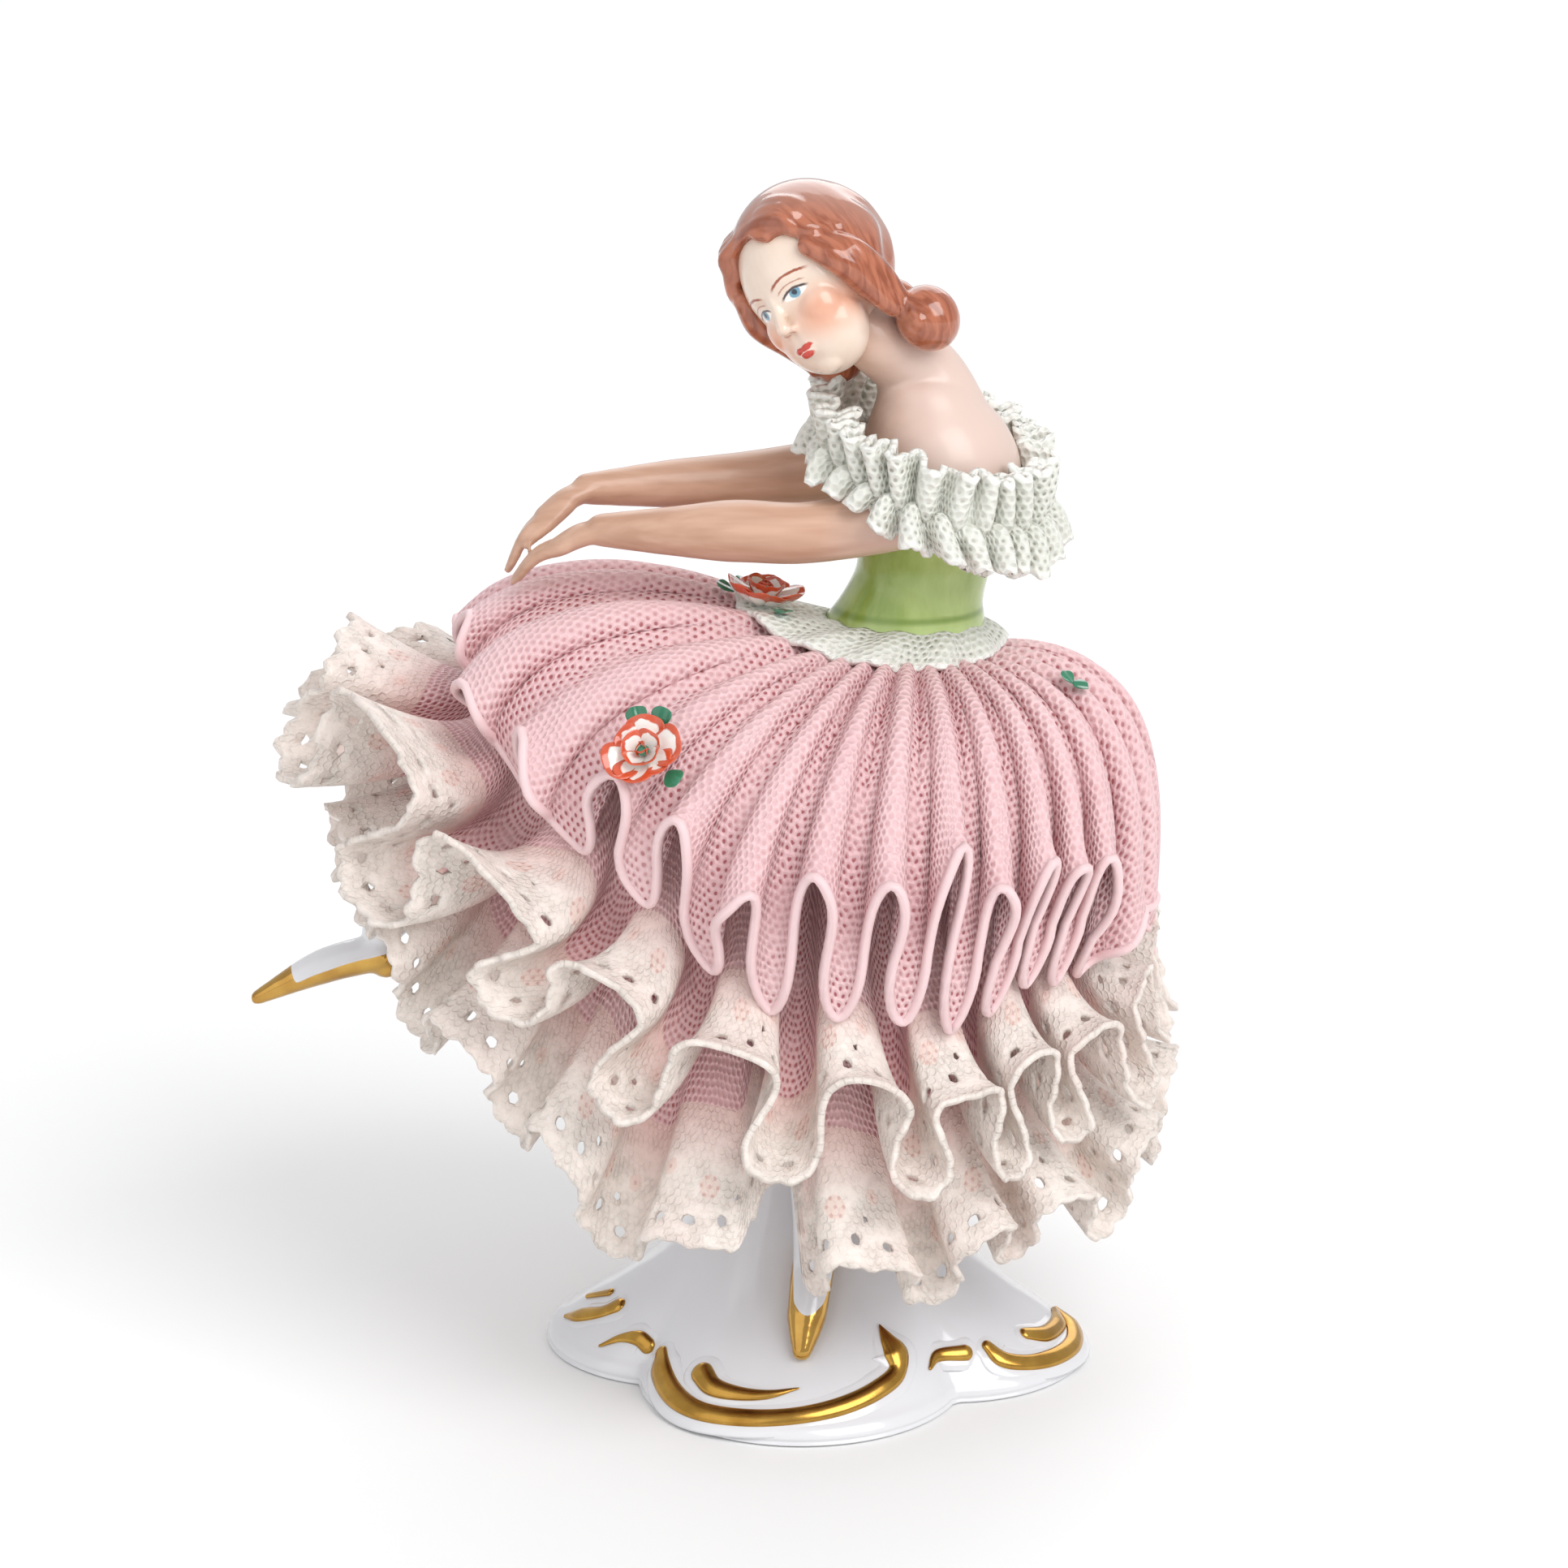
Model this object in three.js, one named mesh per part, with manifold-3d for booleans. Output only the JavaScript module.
// A porcelain lace figurine: a young dancer in a flounced skirt who leans on her raised knee.
// She is slip-cast and glazed, and stands on a scrolled plinth whose mound runs up under the skirt.
// The skirt, its two edged flounces, the waist frill and the shoulder frills are real lace that was
// dipped in slip and fired, so each one is a thin folded wall of its own. Millimetres, +Z up.
// She faces -X and the side that is looked at is -Y. The origin is on the table, under the mound.
import * as THREE from "three";
import { mergeVertices } from "three/addons/utils/BufferGeometryUtils.js";
import Module from "manifold-3d";

const wasm = await Module();
wasm.setup();

// Driving dimensions
const FIGURE_HEIGHT = 115;
const BASE_WIDTH = 52.5;
const BASE_DEPTH = 50;
const BASE_TURN = -8;
const RIM_HEIGHT = 2.0;
const MOUND_NECK = 8.6;
const SCROLL_WIDTH = 2.0;
const SCROLL_RISE = 0.55;
const LACE_WALL = 0.9;
const FRILL_WALL = 0.8;
const BAND_WALL = 0.7;
const JOINT_GAP = 0.3;
const OVERSKIRT_FOLDS = 32;
const UPPER_FLOUNCE_FOLDS = 20;
const LOWER_FLOUNCE_FOLDS = 18;
const BAND_FOLDS = 12;
const SHOULDER_FOLDS = 11;
const ROSE_SIZE = 6.4;
const SLIPPER_LENGTH = 12;

// The pose and the drapery are free forms drawn for a figure of this height, and scale with hers.
const DRAWN_HEIGHT = 115;
const k = FIGURE_HEIGHT / DRAWN_HEIGHT;
const spot = (x, y, z) => new THREE.Vector3(x, y, z).multiplyScalar(k);
const radians = THREE.MathUtils.degToRad;
const FULL_TURN = Math.PI * 2;

// A closed solid of points and triangles, turned so that its faces point out.
function solidOf(points, triangles) {
  const vertProperties = new Float32Array(points.flatMap((p) => [p.x, p.y, p.z]));
  const made = new wasm.Manifold(new wasm.Mesh({ numProp: 3, vertProperties, triVerts: new Uint32Array(triangles) }));
  if (made.volume() > 0) return made;
  const turned = [];
  for (let i = 0; i < triangles.length; i += 3) turned.push(triangles[i], triangles[i + 2], triangles[i + 1]);
  return new wasm.Manifold(new wasm.Mesh({ numProp: 3, vertProperties, triVerts: new Uint32Array(turned) }));
}

function solidFromGeometry(geometry) {
  const bare = new THREE.BufferGeometry().setAttribute("position", geometry.getAttribute("position"));
  if (geometry.index) bare.setIndex(geometry.index);
  const merged = mergeVertices(bare, 1e-4);
  const place = merged.attributes.position;
  const points = Array.from({ length: place.count }, (_, i) => new THREE.Vector3().fromBufferAttribute(place, i));
  return solidOf(points, [...merged.index.array]);
}

// Rings of equal length joined into one body, closed at both ends by a fan.
function loft(rings) {
  const sides = rings[0].length;
  const points = rings.flat();
  const triangles = [];
  for (let i = 0; i + 1 < rings.length; i++) {
    for (let j = 0; j < sides; j++) {
      const a = i * sides + j;
      const b = i * sides + ((j + 1) % sides);
      triangles.push(a, b, b + sides, a, b + sides, a + sides);
    }
  }
  for (const [ring, start, ahead] of [[rings[0], 0, 1], [rings.at(-1), (rings.length - 1) * sides, 0]]) {
    const middle = ring.reduce((sum, p) => sum.add(p), new THREE.Vector3()).divideScalar(sides);
    const centre = points.push(middle) - 1;
    for (let j = 0; j < sides; j++) {
      const pair = [start + j, start + ((j + 1) % sides)];
      triangles.push(centre, pair[ahead], pair[1 - ahead]);
    }
  }
  return solidOf(points, triangles);
}

// Columns that each go round a wall's cross-section, joined side by side into a closed hoop.
function hoop(columns) {
  const around = columns[0].length;
  const triangles = [];
  columns.forEach((column, i) => {
    const next = ((i + 1) % columns.length) * around;
    for (let j = 0; j < around; j++) {
      const a = i * around + j;
      const b = i * around + ((j + 1) % around);
      const c = next + ((j + 1) % around);
      const d = next + j;
      triangles.push(a, b, c, a, c, d);
    }
  });
  return solidOf(columns.flat(), triangles);
}

// Slivers that the joining of bodies leaves are merged, within this distance.
const SLIVER = 0.1;
const join = (solids) => solids.reduce((whole, s) => whole.add(s)).simplify(SLIVER);

function ellipsoid(centre, radii, turn = new THREE.Euler(), detail = 12) {
  const geometry = new THREE.SphereGeometry(1, detail, Math.round(detail * 0.7));
  geometry.scale(radii[0] * k, radii[1] * k, radii[2] * k);
  geometry.applyMatrix4(new THREE.Matrix4().makeRotationFromEuler(turn));
  geometry.translate(centre.x, centre.y, centre.z);
  return solidFromGeometry(geometry);
}

// A limb: a round body along a smooth curve through its joints, with rounded ends.
function limb(joints, radii, { steps = 9, sides = 10, flat = 1 } = {}) {
  const curve = new THREE.CatmullRomCurve3(joints, false, "centripetal");
  const frames = curve.computeFrenetFrames(steps);
  const sizes = new THREE.CatmullRomCurve3(radii.map((r) => new THREE.Vector3(r * k, 0, 0)));
  const ringAt = (i, radius, shift) => {
    const centre = curve.getPoint(i / steps).addScaledVector(frames.tangents[i], shift);
    return Array.from({ length: sides }, (_, j) => {
      const turn = (j / sides) * FULL_TURN;
      return centre.clone()
        .addScaledVector(frames.normals[i], radius * Math.cos(turn))
        .addScaledVector(frames.binormals[i], radius * flat * Math.sin(turn));
    });
  };
  const END_ROUNDING = 0.55;
  const first = sizes.getPoint(0).x;
  const last = sizes.getPoint(1).x;
  const rings = [ringAt(0, first * END_ROUNDING, -first * END_ROUNDING)];
  for (let i = 0; i <= steps; i++) rings.push(ringAt(i, sizes.getPoint(i / steps).x, 0));
  rings.push(ringAt(steps, last * END_ROUNDING, last * END_ROUNDING));
  return loft(rings);
}

// The plinth. Its outline is four shallow lobes: each ray ends on the furthest of four circles.
const LOBES = [
  { turn: 270, out: 0.19, radius: 0.31, half: BASE_DEPTH },
  { turn: 0, out: 0.25, radius: 0.25, half: BASE_WIDTH },
  { turn: 90, out: 0.19, radius: 0.31, half: BASE_DEPTH },
  { turn: 180, out: 0.25, radius: 0.25, half: BASE_WIDTH },
];

function outlineRadius(angle) {
  return Math.max(...LOBES.map(({ turn, out, radius, half }) => {
    const apart = angle - radians(turn + BASE_TURN);
    const reach = (radius * half) ** 2 - (out * half * Math.sin(apart)) ** 2;
    return reach > 0 ? out * half * Math.cos(apart) + Math.sqrt(reach) : 0;
  }));
}

// The mound's profile from the foot ring to the support that carries her:
// the share of the outline, the height, and how round the ring has become.
const SUPPORT_TOP = 53 * k;
const moundProfile = [
  [0.95, 0, 0],
  [1.0, RIM_HEIGHT * 0.3, 0],
  [0.99, RIM_HEIGHT * 0.75, 0],
  [0.95, RIM_HEIGHT * 1.1, 0.05],
  [0.88, RIM_HEIGHT * 1.1 + 1.3 * k, 0.2],
  [0.76, RIM_HEIGHT * 1.1 + 3.5 * k, 0.5],
  [0.6, RIM_HEIGHT * 1.1 + 7.2 * k, 0.85],
  [0.44, RIM_HEIGHT * 1.1 + 13.5 * k, 1],
  [0.31, RIM_HEIGHT * 1.1 + 22 * k, 1],
];
const MEAN_RADIUS = (BASE_WIDTH + BASE_DEPTH) / 4;
const BASE_SIDES = 32;

function moundRing(share, height, roundness, grow, neck) {
  return Array.from({ length: BASE_SIDES }, (_, j) => {
    const angle = (j / BASE_SIDES) * FULL_TURN;
    const lobed = outlineRadius(angle) * share;
    const reach = neck ?? THREE.MathUtils.lerp(lobed, MEAN_RADIUS * share, roundness);
    return new THREE.Vector3(Math.cos(angle) * (reach + grow), Math.sin(angle) * (reach + grow), height);
  });
}

function mound(grow = 0) {
  const rings = moundProfile.map(([share, height, roundness], i) =>
    moundRing(share, height + (i ? grow : -grow), roundness, grow));
  rings.push(moundRing(0, 38 * k, 1, grow, MOUND_NECK * 0.56));
  rings.push(moundRing(0, SUPPORT_TOP + grow, 1, grow, MOUND_NECK * 0.5));
  return loft(rings);
}

// A place on the mound: a share of the outline along one ray, and a height above the surface.
function onMound(share, turn, above) {
  const angle = radians(turn);
  const after = moundProfile.findIndex(([s], i) => i > 1 && s <= share);
  const [s1, z1, r1] = moundProfile[after];
  const [s0, z0, r0] = moundProfile[after - 1];
  const part = (s0 - share) / (s0 - s1);
  const roundness = THREE.MathUtils.lerp(r0, r1, part);
  const reach = THREE.MathUtils.lerp(outlineRadius(angle) * share, MEAN_RADIUS * share, roundness);
  const height = THREE.MathUtils.lerp(z0, z1, part) + above;
  return new THREE.Vector3(Math.cos(angle) * reach, Math.sin(angle) * reach, height);
}

// A moulded scroll: a ridge along places on the mound, each a turn from the plinth's right and a
// share of the outline, that is thinner at both ends.
function scroll(places, width) {
  const bend = places.map(([turn, share]) => onMound(share, turn + BASE_TURN, -width * 0.5 + SCROLL_RISE));
  const radii = [0.3, 0.48, 0.42, 0.48, 0.3].map((r) => (r * width) / k);
  return limb(bend, radii, { steps: places.length, sides: 4 });
}

function plinth() {
  const scrolls = [
    scroll([[228, 0.86], [240, 0.955], [262, 0.96], [284, 0.91], [303, 0.76]], SCROLL_WIDTH),
    scroll([[246, 0.85], [258, 0.882], [273, 0.842]], SCROLL_WIDTH * 0.8),
    scroll([[189, 0.925], [196, 0.845], [200, 0.77]], SCROLL_WIDTH * 0.8),
    scroll([[334, 0.84], [339, 0.93], [350, 0.965], [366, 0.97]], SCROLL_WIDTH),
    scroll([[347, 0.845], [353, 0.886], [366, 0.92]], SCROLL_WIDTH * 0.8),
    scroll([[58, 0.86], [76, 0.94], [108, 0.94], [126, 0.86]], SCROLL_WIDTH),
  ];
  return join([mound(), ...scrolls]);
}

// A ring of the drapery: seen from above an ellipse that is longer on the raised leg's side. It
// climbs towards that side, most of all a little behind the knee. It may dip before and behind,
// and sink at the back alone.
const CLIMB_TURN = radians(12);
const ring = ({ x = 0, right, left, depth, low, lift = 0, climb = 1, dip = 0, sink = 0 }) => (angle) => {
  const c = Math.cos(angle);
  const share = (1 - Math.cos(angle + CLIMB_TURN)) / 2;
  const behind = Math.max(Math.sin(angle), 0) ** 1.5;
  const height = low + lift * share ** climb - dip * Math.sin(angle) ** 2 - sink * behind;
  return spot(x + (c > 0 ? right : left) * c, depth * Math.sin(angle), height);
};

// A smooth cloth that leaves its first ring towards the second and comes to its last ring from
// the third. Its facing side is the outer one.
function cloth(...rings) {
  const at = (angle, t) => {
    const shares = [(1 - t) ** 3, 3 * t * (1 - t) ** 2, 3 * t * t * (1 - t), t ** 3];
    return rings.reduce((sum, r, i) => sum.addScaledVector(r(angle), shares[i]), new THREE.Vector3());
  };
  const STEP = 0.01;
  const facing = (angle, t) => {
    const along = at(angle + STEP, t).sub(at(angle - STEP, t));
    const down = at(angle, t + STEP).sub(at(angle, t - STEP));
    return down.cross(along).normalize();
  };
  return { at, facing };
}

// Folds spread evenly round the ring, but for a slight wander, so that no two are alike.
const evenly = (angle) => angle + 0.04 * Math.sin(2 * angle + 0.6) + 0.035 * Math.sin(5 * angle + 1);

// A cloth laid in folds. The fold's phase runs once round for each fold, and the fold swells
// into a loop as it opens. A pinch widens the crests into trumpets, and a sway leans them. The
// crests may end before the hem, where the hollows hang down as tongues between raised arches.
// Folds may be uneven in length and each of its own size, and a slit may part the hem.
function folded({ at, facing }, { folds, depth, loop, crestEnd = () => 1, spread = evenly, pinch = 0,
  sway = 0, uneven = 0, ownSize = 0, slit = { turn: 0, half: 1, share: 0 } }) {
  const longer = (even) => 0.6 * Math.sin(4 * even + 2) * Math.sin(even / 2) ** 2 + 0.4 * Math.sin(9 * even);
  const larger = (even) => Math.sin(7 * even + 1.3) + 0.75 * Math.sin(11 * even);
  const slitAt = (angle) => slit.share * Math.exp(-(((angle - radians(slit.turn)) / radians(slit.half)) ** 4));
  return (phase, t) => {
    const even = (phase + loop * t * Math.sin(2 * phase) + pinch * t * Math.sin(phase)) / folds;
    const angle = spread(even + (sway * t ** 2 * Math.sin((4 * phase) / folds + 1)) / folds);
    const wave = Math.cos(phase);
    const length = 1 + uneven * longer(even) + ((crestEnd(angle) - 1) * (wave + 1)) / 2;
    const down = t * length * (1 - slitAt(angle));
    const own = wave > 0 ? 1 + ownSize * larger(even) : 1;
    return at(angle, down).addScaledVector(facing(angle, down), depth(Math.max(down, 0)) * k * wave * own);
  };
}

// The lace wall of a folded cloth, with two corners on each crest and two in each hollow.
const FOLD_CORNERS = [-32, 32, 148, 212];
function laceWall(surface, { folds, wall, rows }) {
  const STEP = 0.02;
  const outward = (phase, t) => {
    const along = surface(phase + STEP, t).sub(surface(phase - STEP, t));
    const down = surface(phase, t + STEP).sub(surface(phase, t - STEP));
    return down.cross(along).normalize();
  };
  const columns = [];
  for (let fold = 0; fold < folds; fold++) {
    for (const corner of FOLD_CORNERS) {
      const phase = fold * FULL_TURN + radians(corner);
      const place = (row, side) => {
        const t = row / rows;
        return surface(phase, t).addScaledVector(outward(phase, t), (side * wall) / 2);
      };
      const outside = Array.from({ length: rows + 1 }, (_, row) => place(row, 1));
      const inside = Array.from({ length: rows + 1 }, (_, row) => place(rows - row, -1));
      columns.push([...outside, ...inside]);
    }
  }
  return hoop(columns);
}

// The pink overskirt: gathered at the waist, out over the raised knee, then down in tongues.
// The tongues are longest on the right and shorten towards the knee, where the folds lie wider.
const overskirtCloth = cloth(
  ring({ x: 6.9, right: 9.2, left: 9.2, depth: 8.2, low: 68.4, lift: 2, sink: 3 }),
  ring({ x: 4, right: 26.5, left: 22, depth: 25, low: 70, lift: 11.4, climb: 3.2, sink: 8 }),
  ring({ x: 1, right: 31, left: 36, depth: 31.5, low: 60.5, lift: 15.6, climb: 2, dip: 3, sink: 4 }),
  ring({ x: 0, right: 30, left: 33.5, depth: 30, low: 44.5, lift: 24, climb: 2, dip: 4.5 }),
);
const KNEE_TURN = radians(205);
const KNEE_REACH = 0.62;
const kneeWidth = (angle) => 1 + 0.95 * Math.exp(-(((angle - KNEE_TURN) / KNEE_REACH) ** 2));
const TURN_STEPS = 360;
const foldsBefore = [0];
for (let i = 1; i <= TURN_STEPS; i++) foldsBefore.push(foldsBefore[i - 1] + 1 / kneeWidth((i / TURN_STEPS) * FULL_TURN));
function wideAtKnee(even) {
  const bent = even + 0.03 * Math.sin(2 * even + 0.6) + 0.02 * Math.sin(5 * even + 1);
  const turns = Math.floor(bent / FULL_TURN);
  const share = (bent / FULL_TURN - turns) * foldsBefore.at(-1);
  const after = Math.max(1, foldsBefore.findIndex((sum) => sum >= share));
  const part = (share - foldsBefore[after - 1]) / (foldsBefore[after] - foldsBefore[after - 1]);
  return (turns + (after - 1 + part) / TURN_STEPS) * FULL_TURN;
}
const overskirtDepth = (t) => 0.4 + 1.2 * t ** 1.4;
const overskirtFolds = folded(overskirtCloth, { folds: OVERSKIRT_FOLDS, depth: overskirtDepth, loop: 0.75,
  pinch: -0.4, sway: 1.4, uneven: 0.06, spread: wideAtKnee,
  crestEnd: (angle) => THREE.MathUtils.lerp(0.65, 0.85, ((1 - Math.cos(angle)) / 2) ** 2)
    + 0.05 * Math.sin(13 * angle + 1) + 0.04 * Math.sin(23 * angle) });
const overskirt = () => laceWall(overskirtFolds, { folds: OVERSKIRT_FOLDS, wall: LACE_WALL, rows: 3 });

// The upper flounce drops from under the overskirt and flares out flat, so that its folds
// stand up as arches and hang down as loops.
const upperCloth = cloth(
  ring({ x: -1, right: 25, left: 28.4, depth: 23.6, low: 56.4, lift: 11.5, climb: 2, sink: 4 }),
  ring({ x: -1, right: 25.5, left: 29.6, depth: 24, low: 47, lift: 18.5, climb: 2, sink: 2 }),
  ring({ x: -1, right: 26, left: 31.5, depth: 24, low: 38, lift: 23, climb: 2, dip: 6 }),
  ring({ x: -2, right: 37, left: 46.5, depth: 33, low: 38, lift: 29, climb: 1.8, dip: 8.5 }),
);
const upperFolds = folded(upperCloth, { folds: UPPER_FLOUNCE_FOLDS, depth: (t) => 0.4 + 4.7 * t ** 2.4, loop: 1,
  crestEnd: () => 0.88, pinch: 0.5, sway: 1.2, uneven: 0.06, ownSize: 0.12 });
const upperFlounce = () => laceWall(upperFolds, { folds: UPPER_FLOUNCE_FOLDS, wall: LACE_WALL, rows: 3 });

// The lower flounce hangs inside the upper one, and more steeply. A slit parts its hem in front.
const lowerCloth = cloth(
  ring({ x: -1, right: 22, left: 28, depth: 21, low: 48, lift: 16.5, climb: 2 }),
  ring({ x: -1, right: 22.5, left: 30.2, depth: 21, low: 38, lift: 22.5, climb: 2 }),
  ring({ x: -2, right: 26, left: 32, depth: 23, low: 29, lift: 27, climb: 2.4, dip: 5 }),
  ring({ x: -3, right: 38.5, left: 42.5, depth: 28.5, low: 24, lift: 28, climb: 3, dip: 8.5 }),
);
const lowerFolds = folded(lowerCloth, { folds: LOWER_FLOUNCE_FOLDS, depth: (t) => 0.4 + 3.9 * t ** 2, loop: 0.8,
  crestEnd: () => 0.93, pinch: 0.3, sway: 1, uneven: 0.06, ownSize: 0.2, slit: { turn: 268.4, half: 4, share: 0.27 } });
const lowerFlounce = () => laceWall(lowerFolds, { folds: LOWER_FLOUNCE_FOLDS, wall: LACE_WALL, rows: 2 });

// Her waist, where the painted bodice ends, and the frill that lies round it on the skirt.
const WAIST = { x: 7.9, z: 71.9, right: 7.5, depth: 6.5 };
const BAND_CLEARANCE = (BAND_WALL / 2 + JOINT_GAP) / k + 0.2;
const bandInner = ring({ x: WAIST.x, right: WAIST.right + BAND_CLEARANCE, left: WAIST.right + BAND_CLEARANCE,
  depth: WAIST.depth + BAND_CLEARANCE, low: WAIST.z - 0.4, lift: 1.2, sink: 1.6 });
const bandOuter = ring({ x: 5.2, right: 12.4, left: 12.8, depth: 10.6, low: 71.2, lift: 4.4, dip: 1.5, sink: 4 });
const bandBetween = (share) => (angle) => bandInner(angle).lerp(bandOuter(angle), share);
const bandCloth = cloth(bandInner, bandBetween(0.33), bandBetween(0.67), bandOuter);
const bandDepth = 0.15;
const bandFolds = folded(bandCloth, { folds: BAND_FOLDS, depth: () => bandDepth, loop: 0 });
const waistFrill = () => laceWall(bandFolds, { folds: BAND_FOLDS, wall: BAND_WALL, rows: 1 });

// The two frills round her bare shoulders spring from one seam, which is higher in front and
// on the far side. The lower one lifts over the arms.
const SEAM = { x: 10.9, z: 87.2, right: 9.8, depth: 10.9, tipX: -0.34, tipY: 0.18 };
const seamRing = (out, up, raise = 0) => (angle) => {
  const x = (SEAM.right + out) * Math.cos(angle);
  const y = (SEAM.depth + out) * Math.sin(angle);
  const raised = up + raise * (1 - Math.cos(angle)) / 2;
  return spot(SEAM.x + x, y, SEAM.z + raised + SEAM.tipX * x + SEAM.tipY * y);
};
const frillFolds = (...rings) => folded(cloth(...rings),
  { folds: SHOULDER_FOLDS, depth: (t) => 0.2 + 0.7 * t, loop: 0.4 });
const shoulderFrill = (folds) => laceWall(folds, { folds: SHOULDER_FOLDS, wall: FRILL_WALL, rows: 2 });
const upperFrill = () => shoulderFrill(frillFolds(
  seamRing(0, 0.7), seamRing(1.0, 1.8), seamRing(0.4, 3.6), seamRing(0.3, 5.6, -1)));
const lowerFrill = () => shoulderFrill(frillFolds(
  seamRing(0, -0.7), seamRing(1.3, -0.5), seamRing(1.3, -1.6, 1.2), seamRing(1.4, -3.6, 2)));

// The figure. Her head has its own frame: +Z to the crown, -Y to the face, +X to her left.
const HEAD = spot(-0.1, -1.2, 105.3);
const headFrame = new THREE.Matrix4()
  .makeTranslation(HEAD.x, HEAD.y, HEAD.z)
  .multiply(new THREE.Matrix4().makeRotationY(radians(-46)))
  .multiply(new THREE.Matrix4().makeRotationZ(radians(-35)))
  .multiply(new THREE.Matrix4().makeRotationX(radians(-18)));
const inHead = (x, y, z) => spot(x, y, z).applyMatrix4(headFrame);
const headTurn = new THREE.Euler().setFromRotationMatrix(headFrame);

function head() {
  const blob = (place, radii, detail = 10) => ellipsoid(inHead(...place), radii, headTurn, detail);
  const skull = blob([0, 0.4, 1.0], [6.0, 6.9, 7.3]);
  const jaw = blob([0, -2.5, -3.8], [4.5, 4.1, 4.8]);
  const nose = blob([0, -6.7, -2.1], [0.8, 1.0, 1.5], 6);
  const neck = limb([inHead(0, 1.4, -3.5), inHead(0.4, 2.0, -7.5), spot(9.6, 0.4, 96.4), spot(11.4, 0.4, 90.5)],
    [3.3, 3.1, 4.4, 6.6], { steps: 4, sides: 10 });
  return join([skull, jaw, nose, neck]);
}

// Waved hair: a cap that leaves the face free, a roll at each side and a curled knot at the nape.
function hair() {
  const cap = ellipsoid(inHead(0, 1.0, 1.7), [7.6, 8.1, 8.7], headTurn, 12);
  const faceWindow = ellipsoid(inHead(0, -8.0, -4.0), [5.9, 6.6, 9.2], headTurn, 8);
  const below = ellipsoid(inHead(0, 0, -9.5), [9, 12, 5.5], headTurn, 6);
  const pieces = [cap.subtract(faceWindow).subtract(below)];
  for (const side of [-1, 1]) {
    const roll = [inHead(side * 4.9, -4.2, 3.4), inHead(side * 6.6, -1.6, -0.4), inHead(side * 6.2, 0.6, -4.2)];
    pieces.push(limb(roll, [1.3, 2.2, 2.2], { steps: 3, sides: 7 }));
    const curl = side > 0 ? [5.9, 1.9, -8.2] : [-4.8, 2.8, -5.4];
    const size = side > 0 ? 2.8 : 2.2;
    pieces.push(ellipsoid(inHead(...curl), [size, size, size], headTurn, 8));
  }
  pieces.push(ellipsoid(inHead(0, 5.2, -6.2), [5, 2.4, 3], headTurn, 8));
  return join(pieces);
}

// Torso rings from the hips to the shoulders: centre, then half width along X and along Y.
function torso() {
  const SIDES = 14;
  const rows = [
    [6.0, 58.5, 7.0, 6.8],
    [6.6, 65.0, 7.2, 6.9],
    [WAIST.x, WAIST.z - 1.2, WAIST.right - 0.3, WAIST.depth - 0.3],
    [WAIST.x, WAIST.z, WAIST.right, WAIST.depth],
    [10.1, 78.0, 6.2, 5.6],
    [11.2, 84.0, 7.4, 7.6],
    [11.3, 88.5, 7.7, 8.5],
    [11.7, 91.5, 7.3, 7.5],
    [12.1, 94.2, 6.2, 5.2],
    [11.2, 96.8, 4.0, 3.6],
  ];
  return loft(rows.map(([x, z, wide, deep]) =>
    Array.from({ length: SIDES }, (_, j) => {
      const turn = (j / SIDES) * FULL_TURN;
      return spot(x + wide * Math.cos(turn), deep * Math.sin(turn), z);
    })));
}

// Both arms reach to the raised knee, where the hands lie crossed.
function arms() {
  const near = limb([spot(12.6, -4.8, 86.0), spot(7.6, -5.8, 84.6), spot(-0.8, -6.8, 83.0), spot(-13.2, -6.2, 83.2),
    spot(-19.8, -5, 83)], [3.4, 3.1, 2.8, 2.4, 1.9], { steps: 6, sides: 8 });
  const nearHand = limb([spot(-19.8, -5, 83), spot(-24, -4.2, 80.9), spot(-28, -3.2, 77.9)],
    [1.9, 2.0, 0.8], { steps: 3, sides: 7, flat: 0.7 });
  const far = limb([spot(9.5, 5, 87), spot(3, 6, 86.1), spot(-6.6, 6.2, 85.2), spot(-13.4, 4.6, 85.2),
    spot(-21.4, 2.4, 85.2)], [3.4, 3.0, 2.7, 2.3, 1.8], { steps: 6, sides: 8 });
  const farHand = limb([spot(-21.4, 2.4, 85.2), spot(-25.6, 0.4, 82.6), spot(-28.6, -1, 78.1)],
    [1.8, 2.0, 0.8], { steps: 3, sides: 7, flat: 0.7 });
  return join([near, nearHand, far, farHand]);
}

// The standing leg comes down before the mound, with the slipper on its slope.
const FOOT_TURN = 267;
function standingLeg() {
  const SOLE = 1.5 * k;
  const ankle = onMound(0.56, FOOT_TURN + 2, 2.8 * k);
  const leg = limb([spot(5, -1.5, 60), spot(2.6, -9.6, 39), spot(0.6, -12.4, 27), ankle],
    [5.0, 3.7, 3.3, 2.1], { steps: 5, sides: 8 });
  const slope = onMound(0.77, FOOT_TURN, 0).sub(onMound(0.57, FOOT_TURN, 0));
  const stretch = SLIPPER_LENGTH * 0.53 / slope.length();
  const share = (part) => 0.57 + (0.77 - 0.57) * stretch * part;
  const foot = limb([ankle, onMound(share(0.5), FOOT_TURN, SOLE), onMound(share(1), FOOT_TURN - 1, SOLE * 0.7)],
    [2.2, 1.9, 0.9], { steps: 3, sides: 8 });
  return join([leg, foot]);
}

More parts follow.
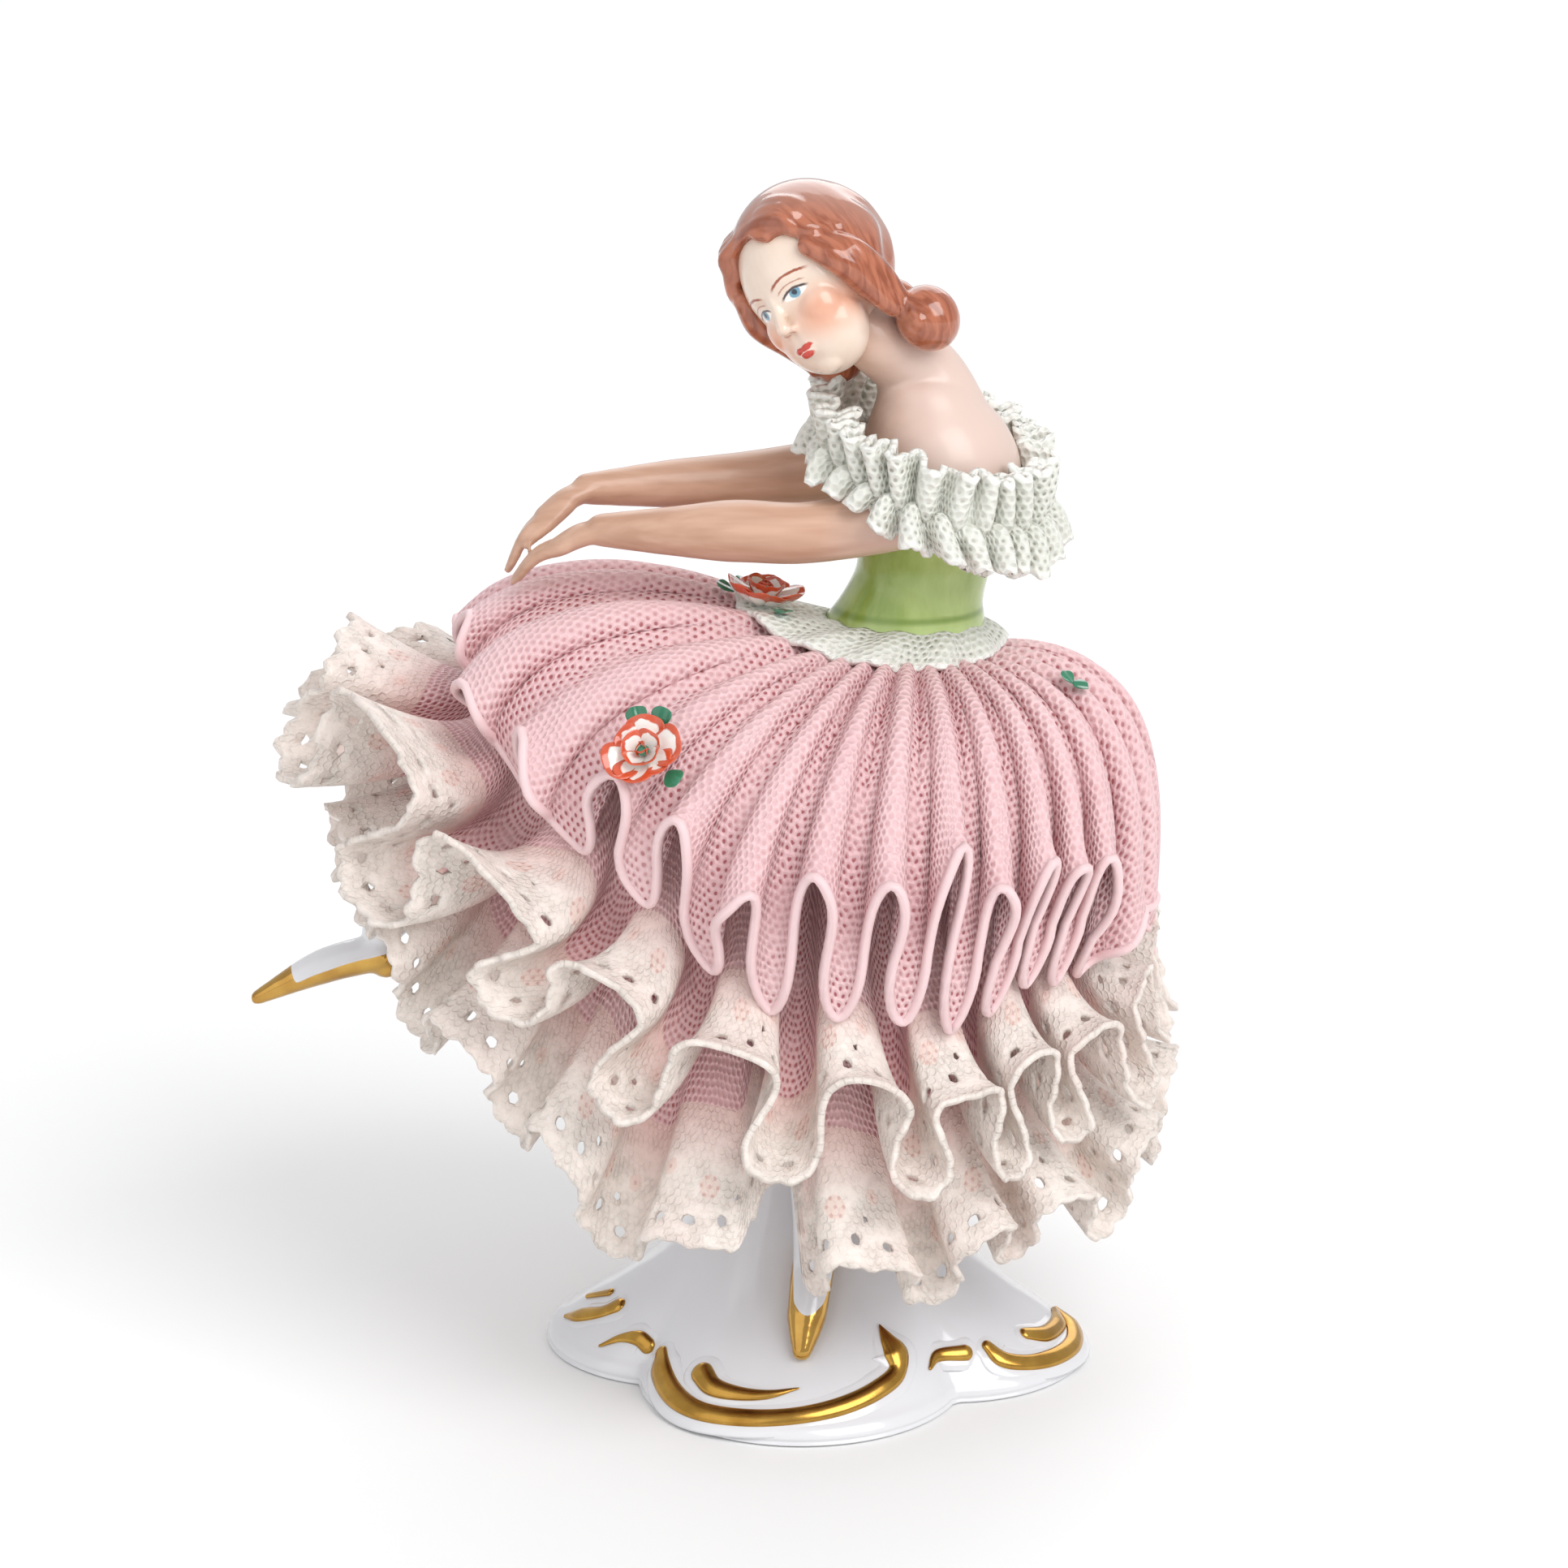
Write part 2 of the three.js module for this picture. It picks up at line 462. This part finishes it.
// The raised leg: thigh to the knee under her hands, shin down to the pointed foot behind.
function raisedLeg() {
  const leg = limb([spot(4, 0, 61), spot(-8, 0.4, 65.4), spot(-19.4, 0.5, 69.4), spot(-28.2, 1.6, 56.4), spot(-41.8, 3, 41.6)],
    [5.2, 4.6, 4.0, 3.2, 2.1], { steps: 9, sides: 8 });
  const heel = spot(-42.2, 3, 39);
  const toe = heel.clone().add(new THREE.Vector3(-SLIPPER_LENGTH * 0.98, 0, -SLIPPER_LENGTH * 0.36));
  const foot = limb([heel, heel.clone().lerp(toe, 0.45).add(spot(0, 0, 0.9)), toe], [2.3, 2.1, 0.9],
    { steps: 4, sides: 8 });
  return join([leg, foot]);
}

const figure = () => join([torso(), head(), hair(), arms(), standingLeg(), raisedLeg()])
  .subtract(mound(JOINT_GAP + SLIVER));

// A rose with its leaves, made flat side down in its own frame: five petals round a heart.
function rose(leafTurns) {
  const SIDES = 10;
  const petals = (out, up, lobed) => Array.from({ length: SIDES }, (_, j) => {
    const turn = (j / SIDES) * FULL_TURN;
    const reach = (ROSE_SIZE / 2) * out * (1 + lobed * Math.cos(5 * turn));
    return new THREE.Vector3(reach * Math.cos(turn), reach * Math.sin(turn), (ROSE_SIZE / 2) * up);
  });
  const flower = loft([petals(0.8, 0, 0.1), petals(1, 0.28, 0.12), petals(0.78, 0.62, 0.1), petals(0.5, 0.44, 0),
    petals(0.36, 0.74, 0), petals(0.12, 0.8, 0)]);
  const leaves = leafTurns.map(radians).map((turn) => {
    const out = (ROSE_SIZE / 2) * 1.15;
    const place = new THREE.Vector3(out * Math.cos(turn), out * Math.sin(turn), (ROSE_SIZE / 2) * 0.22);
    const size = ROSE_SIZE / 2 / k;
    return ellipsoid(place, [size * 0.55, size * 0.3, size * 0.2], new THREE.Euler(0, 0, turn), 6);
  });
  return join([flower, ...leaves]);
}

// Something flat laid on a cloth: its underside touches the crests of the folds there, and it is
// bedded a little between them.
const SEAT = 0.2;
function laidOn(piece, { at, facing }, angle, t, above) {
  const out = facing(angle, t);
  const place = at(angle, t).addScaledVector(out, above + JOINT_GAP);
  const turn = new THREE.Quaternion().setFromUnitVectors(new THREE.Vector3(0, 0, 1), out);
  return piece.transform(new THREE.Matrix4().compose(place, turn, new THREE.Vector3(1, 1, 1)).elements);
}
const roseOn = (surface, angle, t, above, leafTurns) => laidOn(rose(leafTurns), surface, angle, t, above);
const onCrests = (t) => overskirtDepth(t) * k * Math.cos(radians(FOLD_CORNERS[1])) + LACE_WALL / 2 - SEAT * k;
const skirtRose = () => roseOn(overskirtCloth, radians(235), 0.6, onCrests(0.6), [95, 60, -50]);
const waistRose = () => roseOn(bandCloth, radians(192), 0.72, bandDepth * k + BAND_WALL / 2 + 0.05 * k, [120, 170, 300]);

// A pair of leaves on the right of the skirt.
function leafPair() {
  const leaf = (turn) => ellipsoid(spot(1.1 * Math.cos(turn), 1.1 * Math.sin(turn), 0.45), [1.5, 0.9, 0.45],
    new THREE.Euler(0, 0, turn), 6);
  return join([leaf(radians(20)), leaf(radians(140))]);
}
const sideLeaves = () => laidOn(leafPair(), overskirtCloth, radians(334), 0.27, onCrests(0.27));

const finish = (color, roughness, metalness = 0) => new THREE.MeshStandardMaterial({ color, roughness, metalness });
const glazedWhite = finish("#eeedea", 0.12);
const glazedFlesh = finish("#e6c3a8", 0.15);
const pinkLace = finish("#e0a6a8", 0.55);
const edgedLace = finish("#ece2da", 0.4);
const whiteLace = finish("#eff0ea", 0.5);
const paintedRose = finish("#cf5a36", 0.2);
const paintedLeaf = finish("#3f8f6c", 0.25);

// The solid as a mesh of the exported group.
function meshOf(name, solid, material) {
  const { numProp, numVert, vertProperties, triVerts } = solid.getMesh();
  const places = new Float32Array(numVert * 3);
  for (let i = 0; i < numVert; i++) places.set(vertProperties.subarray(i * numProp, i * numProp + 3), i * 3);
  const geometry = new THREE.BufferGeometry()
    .setAttribute("position", new THREE.BufferAttribute(places, 3))
    .setIndex(new THREE.BufferAttribute(new Uint32Array(triVerts), 1));
  geometry.computeVertexNormals();
  const mesh = new THREE.Mesh(geometry, material);
  mesh.name = name;
  return mesh;
}

const figurine = new THREE.Group();
figurine.name = "lace_figurine";
figurine.add(
  meshOf("plinth", plinth(), glazedWhite),
  meshOf("figure", figure(), glazedFlesh),
  meshOf("overskirt", overskirt(), pinkLace),
  meshOf("upper_flounce", upperFlounce(), edgedLace),
  meshOf("lower_flounce", lowerFlounce(), edgedLace),
  meshOf("waist_frill", waistFrill(), whiteLace),
  meshOf("upper_shoulder_frill", upperFrill(), whiteLace),
  meshOf("lower_shoulder_frill", lowerFrill(), whiteLace),
  meshOf("skirt_rose", skirtRose(), paintedRose),
  meshOf("waist_rose", waistRose(), paintedRose),
  meshOf("side_leaves", sideLeaves(), paintedLeaf),
);

export default figurine;
